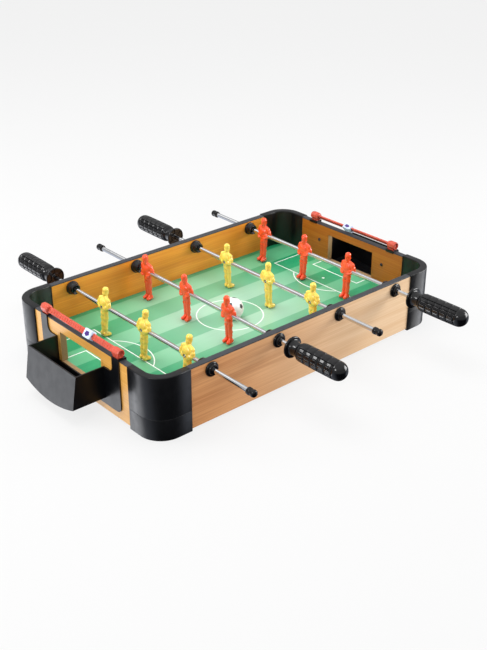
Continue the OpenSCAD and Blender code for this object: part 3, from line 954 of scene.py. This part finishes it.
def build_rail(end):
    low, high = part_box(f"{end}_score_rail")
    half = high.y
    place = rail_place(end)
    wide, thick = BAR_WIDE / 2, BAR_THICK / 2
    section = rounded([(-wide, -thick, 0.6 * MM), (wide, -thick, 0.6 * MM),
                       (wide, thick, 1.1 * MM), (-wide, thick, 1.1 * MM)])
    bar_half = half - LUG_LEN + 3 * MM
    bm = bmesh.new()
    skin_rings(bm, [[place @ Vector((x, y, z)) for x, z in section] for y in (-bar_half, bar_half)])
    # Raised ticks, every fifth one longer
    count = int((bar_half - 4 * MM) / TICK_PITCH)
    for k in range(-count, count + 1):
        long = (3.2 if k % 5 == 0 else 2.4) * MM
        tick = 0.35 * MM
        ridge = rounded([(x, y, 0.3 * MM) for x, y in
                         ((-long, -tick), (long, -tick), (long, tick), (-long, tick))], 2)
        skin_rings(bm, [[place @ Vector((x, k * TICK_PITCH + y, z)) for x, y in ridge]
                        for z in (thick - 0.3 * MM, thick + tick)])
    lug = in_mm([(0, 0), (2.8, 0), (4.2, 0.25), (5.1, 0.9), (5.7, 2.2), (6, 4.2), (6, 10.5),
                 (5.95, 13.2), (5.7, 14.5), (5.2, 15), (4.6, 14.9), (4.3, 14.3), (4.1, 12.6),
                 (0, 12.4)])
    for turn in (0, math.pi):
        spot = place @ Matrix.Rotation(turn, 4, "Z") @ Matrix.Translation((0, half - LUG_LEN, 0))
        lathe(bm, lug, spot, 64, eight_sided)
    # A foot under each lug
    centre = place.translation
    for s in (1, -1):
        y = s * (half - LUG_LEN / 2)
        block(bm, (centre.x - 3.8 * MM, y - 5.6 * MM, low.z + 2 * MM),
              (centre.x + 3.8 * MM, y + 5.6 * MM, centre.z - 1 * MM))
    piece(f"{end}_rail", bm, "table", RAIL_RED,
          (f"{end}_score_rail",), sharp=40)


# The ball and the score markers have five-sided patches.

def five_fold(pole, direction, patch):
    """True inside a five-sided patch of this angular size about a pole."""
    angle = pole.angle(direction)
    if angle > patch * 1.3:
        return False
    side = pole.orthogonal().normalized()
    up = pole.cross(side)
    around = math.atan2(direction.dot(up), direction.dot(side))
    turn = (around + math.pi / 5) % (TAU / 5) - math.pi / 5
    return angle * math.cos(turn) < patch * math.cos(math.pi / 5)


def icosahedron_corners():
    golden = (1 + 5 ** 0.5) / 2
    corners = []
    for a in (-1, 1):
        for b in (-golden, golden):
            corners += [(0, a, b), (a, b, 0), (b, 0, a)]
    return [Vector(corner).normalized() for corner in corners]


# Angles on the ball: of its black patches, of how near a pole no seam runs, and of a seam.
BALL_PATCH = 0.235
SEAM_FROM = 0.23
SEAM_WIDE = 0.018


def build_ball():
    """Twelve black patches, and seams as far from one patch as from the next."""
    tilt = Matrix.Rotation(0.5, 3, "X") @ Matrix.Rotation(0.35, 3, "Y")
    poles = [tilt @ p for p in icosahedron_corners()]
    bm = bmesh.new()
    bmesh.ops.create_icosphere(bm, subdivisions=6, radius=BALL_R)
    for vertex in bm.verts:
        direction = vertex.co.normalized()
        nearest, second = sorted(p.angle(direction) for p in poles)[:2]
        if nearest > SEAM_FROM and second - nearest < SEAM_WIDE:
            vertex.co *= 0.994
    for face in bm.faces:
        direction = face.calc_center_median().normalized()
        if any(five_fold(p, direction, BALL_PATCH) for p in poles):
            face.material_index = 1
    bmesh.ops.translate(bm, verts=bm.verts, vec=middle("ball"))
    obj = piece("football", bm, "ball", WHITE, ("ball",), sharp=80)
    obj.data.materials.append(BLACK_INK)


# The marker's half width and half thickness, the angular size of its patches, and the
# power of its rounded shape: 2 is an egg, and more is nearer to a block.
MARKER_WIDE = 6.0 * MM
MARKER_THICK = 4.4 * MM
MARKER_PATCH = 0.58
MARKER_POWER = 9.0


def build_marker(end):
    """A block with soft edges, and a patch in the middle of each face but its lowest."""
    low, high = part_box(f"{end}_score_marker")
    centre = (low + high) / 2
    place = rail_place(end)
    place.translation = Vector((place.translation.x, centre.y, place.translation.z))
    half = Vector((MARKER_WIDE, (high.y - low.y) / 2, MARKER_THICK))
    bm = bmesh.new()
    bmesh.ops.create_icosphere(bm, subdivisions=5, radius=1)
    for vertex in bm.verts:
        direction = vertex.co.normalized()
        length = sum(abs(c) ** MARKER_POWER for c in direction) ** (-1 / MARKER_POWER)
        vertex.co = Vector([direction[i] * half[i] for i in range(3)]) * length
    poles = [Vector(p) for p in ((0, 0, 1), (1, 0, 0), (-1, 0, 0), (0, 1, 0), (0, -1, 0))]
    for face in bm.faces:
        spot = face.calc_center_median()
        direction = Vector([spot[i] / half[i] for i in range(3)]).normalized()
        if any(five_fold(pole, direction, MARKER_PATCH) for pole in poles):
            face.material_index = 1
    bmesh.ops.transform(bm, verts=bm.verts, matrix=place)
    obj = piece(f"{end}_marker", bm, f"{end}_marker", PALE_BLUE,
                (f"{end}_score_marker",), sharp=60)
    obj.data.materials.append(BLUE_INK)


# ---- Stage ----

VIEW_AZIMUTH = math.radians(-41.39)
VIEW_ELEVATION = math.radians(27.46)
VIEW_DISTANCE = 1.4117
VIEW_TARGET = Vector((-0.0240, -0.0543, 0.045))
VIEW_LENS = 56.8


def build_camera():
    camera = bpy.data.objects.new("camera", bpy.data.cameras.new("camera"))
    bpy.context.scene.collection.objects.link(camera)
    camera.data.lens = VIEW_LENS
    camera.data.sensor_width = 36
    camera.data.clip_start = 0.01
    back = Vector((math.sin(VIEW_AZIMUTH) * math.cos(VIEW_ELEVATION),
                   -math.cos(VIEW_AZIMUTH) * math.cos(VIEW_ELEVATION),
                   math.sin(VIEW_ELEVATION)))
    camera.location = VIEW_TARGET + back * VIEW_DISTANCE
    camera.rotation_euler = (-back).to_track_quat("-Z", "Y").to_euler()
    bpy.context.scene.camera = camera


def soft_box(name, direction, distance, width, height, watts, glossy=True):
    """A soft box facing the middle of the table: where it is, how far off, its size in
    metres, its watts, and whether glossy surfaces show it."""
    data = bpy.data.lights.new(name, "AREA")
    data.shape = "RECTANGLE"
    data.size = width
    data.size_y = height
    data.energy = watts
    lamp = bpy.data.objects.new(name, data)
    bpy.context.scene.collection.objects.link(lamp)
    lamp.location = Vector(direction).normalized() * distance
    lamp.rotation_euler = Vector(direction).to_track_quat("Z", "Y").to_euler()
    lamp.visible_camera = False
    lamp.visible_glossy = glossy
    return lamp


def light_only(lamp, objects):
    """Keeps a light, and its shadows, to some of the pieces."""
    lit = bpy.data.collections.new(f"{lamp.name}_lit")
    for obj in objects:
        lit.objects.link(obj)
    lamp.light_linking.receiver_collection = lit
    lamp.light_linking.blocker_collection = lit


FLOOR_REACH = 12.0
FLOOR_Z = -0.4 * MM
FLOOR_GREY = ((0.105, 0.105, 0.105), (0.11, 0.11, 0.11))
LOW_TINT = (0.80, 0.86, 1.0, 1)

# Where the studio is brighter below the level of the table.
LEFT_BACK = (-0.66, 0.75, -0.35)
RIGHT_FRONT = (0.90, -0.35, -0.25)


def build_floor():
    bm = bmesh.new()
    bmesh.ops.create_grid(bm, x_segments=4, y_segments=4, size=FLOOR_REACH)
    mesh = bpy.data.meshes.new("floor")
    bm.to_mesh(mesh)
    bm.free()
    floor = bpy.data.objects.new("floor", mesh)
    bpy.context.scene.collection.objects.link(floor)
    floor.location.z = FLOOR_Z
    floor.visible_glossy = False
    # Most of the floor's light is its own, as on a light table, so it shows little shadow.
    paint = Paint("pale_floor", 0.9, Specular_IOR_Level=0.1, Emission_Strength=0.79)
    paint.set("Emission Color", (1, 1, 1, 1))
    paint.set("Base Color", paint.mix(paint.noise((3, 3, 3)), *FLOOR_GREY))
    mesh.materials.append(paint.material)


def build_studio():
    """A pale surround, darker to the sides than overhead, and soft boxes."""
    world = bpy.data.worlds.new("studio")
    bpy.context.scene.world = world
    world.use_nodes = True
    tree = world.node_tree
    background = tree.nodes["Background"]
    coordinates = tree.nodes.new("ShaderNodeTexCoord")

    def facing(direction):
        """How much a direction of the sky agrees with this one, from -1 to 1."""
        dot = tree.nodes.new("ShaderNodeVectorMath")
        dot.operation = "DOT_PRODUCT"
        dot.inputs[1].default_value = Vector(direction).normalized()
        tree.links.new(coordinates.outputs["Generated"], dot.inputs[0])
        return Wire(tree, dot.outputs["Value"])

    height = facing((0, 0, 1))
    above = height.ramp(0.42, 0.80, 0.48, 0.85)
    left_glow = facing(LEFT_BACK).ramp(0.2, 0.9, 0.02, 0.75)
    below = left_glow + facing(RIGHT_FRONT).ramp(0.86, 0.97, 0.0, 0.7)
    low = height.ramp(-0.25, 0.05, 1.0, 0.0)
    level = above * (low * -1.0 + 1.0) + below * low
    tree.links.new(level.socket, background.inputs["Strength"])
    tint = tree.nodes.new("ShaderNodeMix")
    tint.data_type = "RGBA"
    tint.inputs[6].default_value = (1, 1, 1, 1)
    tint.inputs[7].default_value = LOW_TINT
    tree.links.new(low.socket, tint.inputs["Factor"])
    tree.links.new(tint.outputs[2], background.inputs["Color"])

    soft_box("left_light", (-0.73, 0.66, 0.35), 1.5, 0.9, 0.8, 11.5, False)
    soft_box("right_light", (0.80, -0.55, 0.30), 1.4, 0.8, 0.6, 13.4)
    soft_box("top_light", (-0.1, 0.2, 1.0), 1.6, 1.2, 1.2, 20, False)
    soft_box("rod_light", (-0.10, 0.68, 0.72), 1.8, 0.35, 0.6, 0.75)
    soft_box("side_light", (-0.80, -0.25, 0.55), 1.6, 0.3, 0.3, 4)
    bpy.context.scene.view_settings.view_transform = "Standard"


def light_pieces():
    """Soft boxes that light some pieces only: one the grips, a low one behind the left end
    all but the rods, and one the right front corner."""
    pieces = [obj for obj in bpy.context.scene.objects
              if obj.type == "MESH" and obj.name != "floor" and not obj.hide_render]
    grips = [obj for obj in pieces if obj.name.startswith("grip_")]
    duller = [obj for obj in pieces if obj.name not in [f"rod_{r}" for r in RODS]]
    corner = [obj for obj in pieces if obj.name.startswith("front_right_")]
    light_only(soft_box("grip_light", (-0.51, 0.50, 0.70), 1.8, 0.45, 0.4, 7), grips)
    light_only(soft_box("low_light", (-0.45, 0.76, -0.45), 2.0, 2.2, 1.3, 13), duller)
    light_only(soft_box("corner_light", (0.73, -0.55, -0.41), 2.0, 1.6, 1.2, 13), corner)


build_camera()
build_floor()
build_studio()
build_tray()
build_bushings()
for r in RODS:
    repaint(f"rod_{r}", CHROME)
    build_handle(r)
    build_end_cap(r)
build_players()
build_end_screws()
for end in ENDS:
    build_rail(end)
    build_marker(end)
build_ball()
light_pieces()
